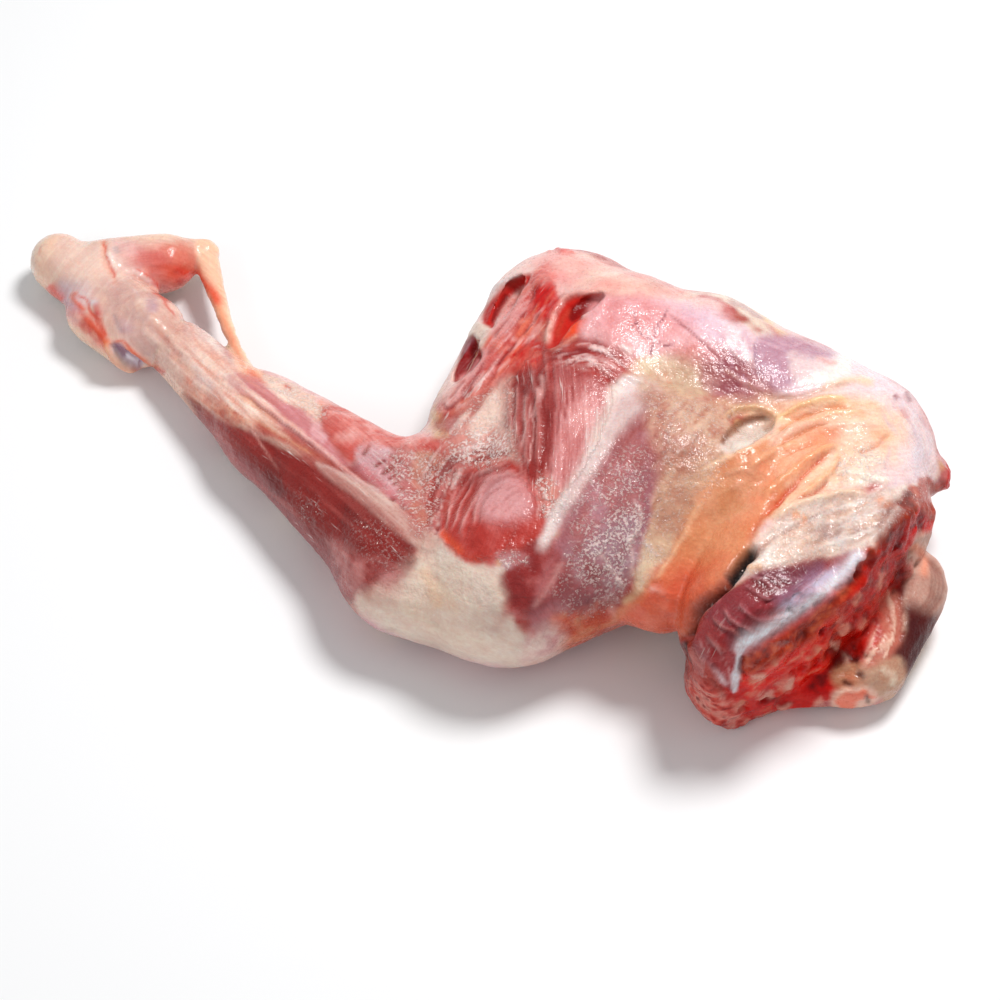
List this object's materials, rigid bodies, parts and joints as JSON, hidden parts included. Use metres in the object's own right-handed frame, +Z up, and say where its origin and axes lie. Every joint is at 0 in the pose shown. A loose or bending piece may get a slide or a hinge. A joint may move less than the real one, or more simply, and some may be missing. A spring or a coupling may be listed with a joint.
{
  "type": "bone-in leg of mutton",
  "caption": "Raw hind leg of mutton on the bone, lying on its side, with the hock and heel tendon at one end and the sawn rump with a hanging flank flap at the other.",
  "frame": {"origin": "on the floor under the middle of the leg's bounding box", "axes": "+X from the hock to the sawn end, +Y towards the upper edge of the thigh, +Z up from the side that it lies on"},
  "size_m": [0.5036, 0.3198, 0.1057],
  "materials": {
    "meat": "moist raw muscle under thin pink and cream membranes, with patches of cream and orange fat and a deep red sawn face; glossy where wet",
    "hock": "pale cream-pink gristle and sinew over the joint, with bluish-grey hollows and small blood clots; moist",
    "tendon": "smooth peach-coloured sinew, slightly translucent and moist",
    "hip_bone": "sawn spongy bone, orange-brown and grainy, moist with red marrow"
  },
  "bodies": {
    "root": {"leg_meat": "meat", "shank_bone": "hock", "heel_tendon": "tendon", "hip_bone": "hip_bone"}
  },
  "joints": []
}
